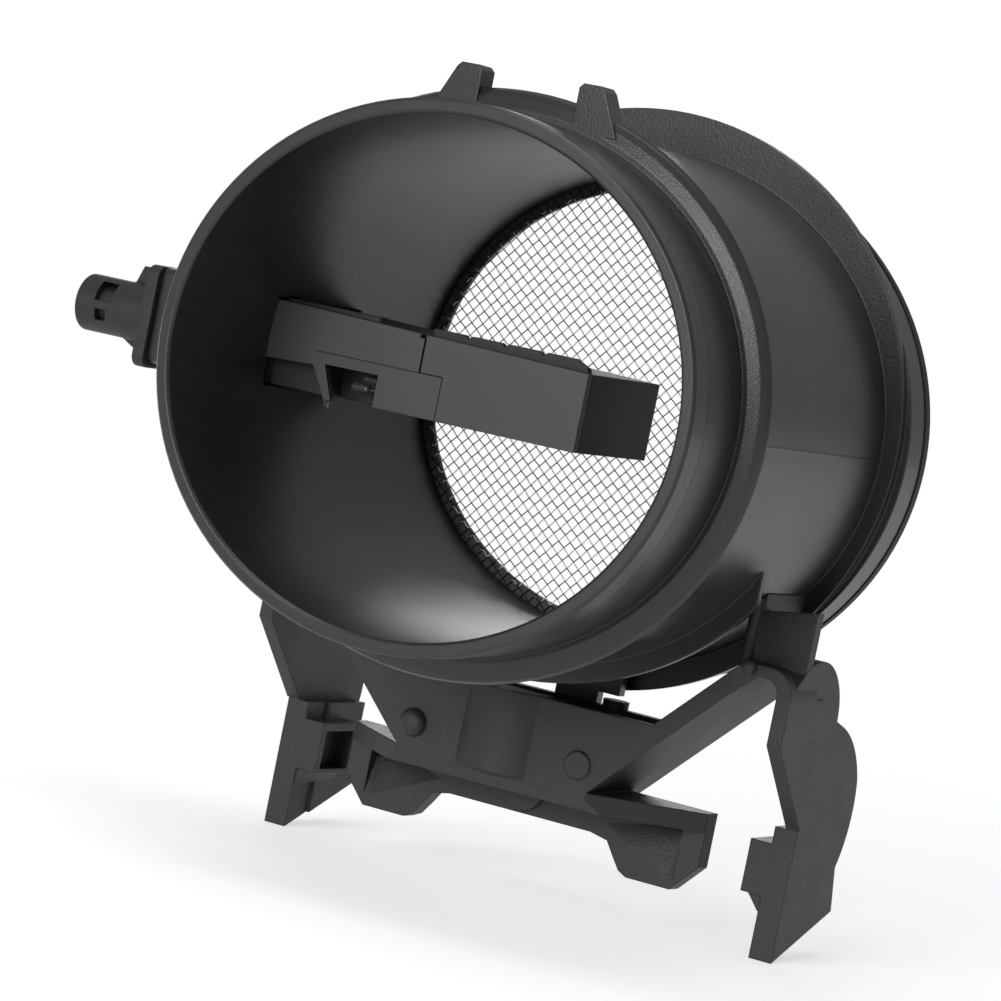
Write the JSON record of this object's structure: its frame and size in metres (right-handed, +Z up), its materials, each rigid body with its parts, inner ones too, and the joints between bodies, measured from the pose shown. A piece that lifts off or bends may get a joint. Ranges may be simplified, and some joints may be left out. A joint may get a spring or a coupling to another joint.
{
  "type": "mass airflow sensor",
  "caption": "Oval air duct with a plug-in sensing probe, a wire screen at the inlet end and a moulded bracket below.",
  "frame": {"origin": "centre of the hose mouth, on the plane of its rim", "axes": "+Y along the tube from the hose mouth to the screen, +Z up through the hose lugs, -X towards the plug"},
  "size_m": [0.1451, 0.0913, 0.1381],
  "materials": {
    "housing": "glass-filled black plastic, satin",
    "bracket": "grained black plastic",
    "probe": "smooth black plastic, satin",
    "wire": "woven stainless wire",
    "rubber": "black rubber",
    "plate": "rolled",
    "board": "white ceramic board",
    "chip": "moulded chip",
    "film": "polished film chip",
    "capacitor": "fired ceramic",
    "carrier": "moulded",
    "contact": "tinned",
    "thermistor": "glazed bead"
  },
  "bodies": {
    "root": {"tube_housing": "housing", "mounting_bracket": "bracket", "sensor_body": "probe", "electronics_cover": "probe", "channel_cover": "probe", "mesh_screen": "wire", "mesh_retainer_ring": "housing", "rear_seal": "rubber", "shaft_o_ring": "rubber", "base_plate": "plate", "circuit_board": "board", "control_chip": "chip", "sensor_chip": "film", "capacitors": "capacitor", "chip_carrier": "carrier", "contact_pins": "contact", "temperature_sensor": "thermistor"}
  },
  "joints": []
}
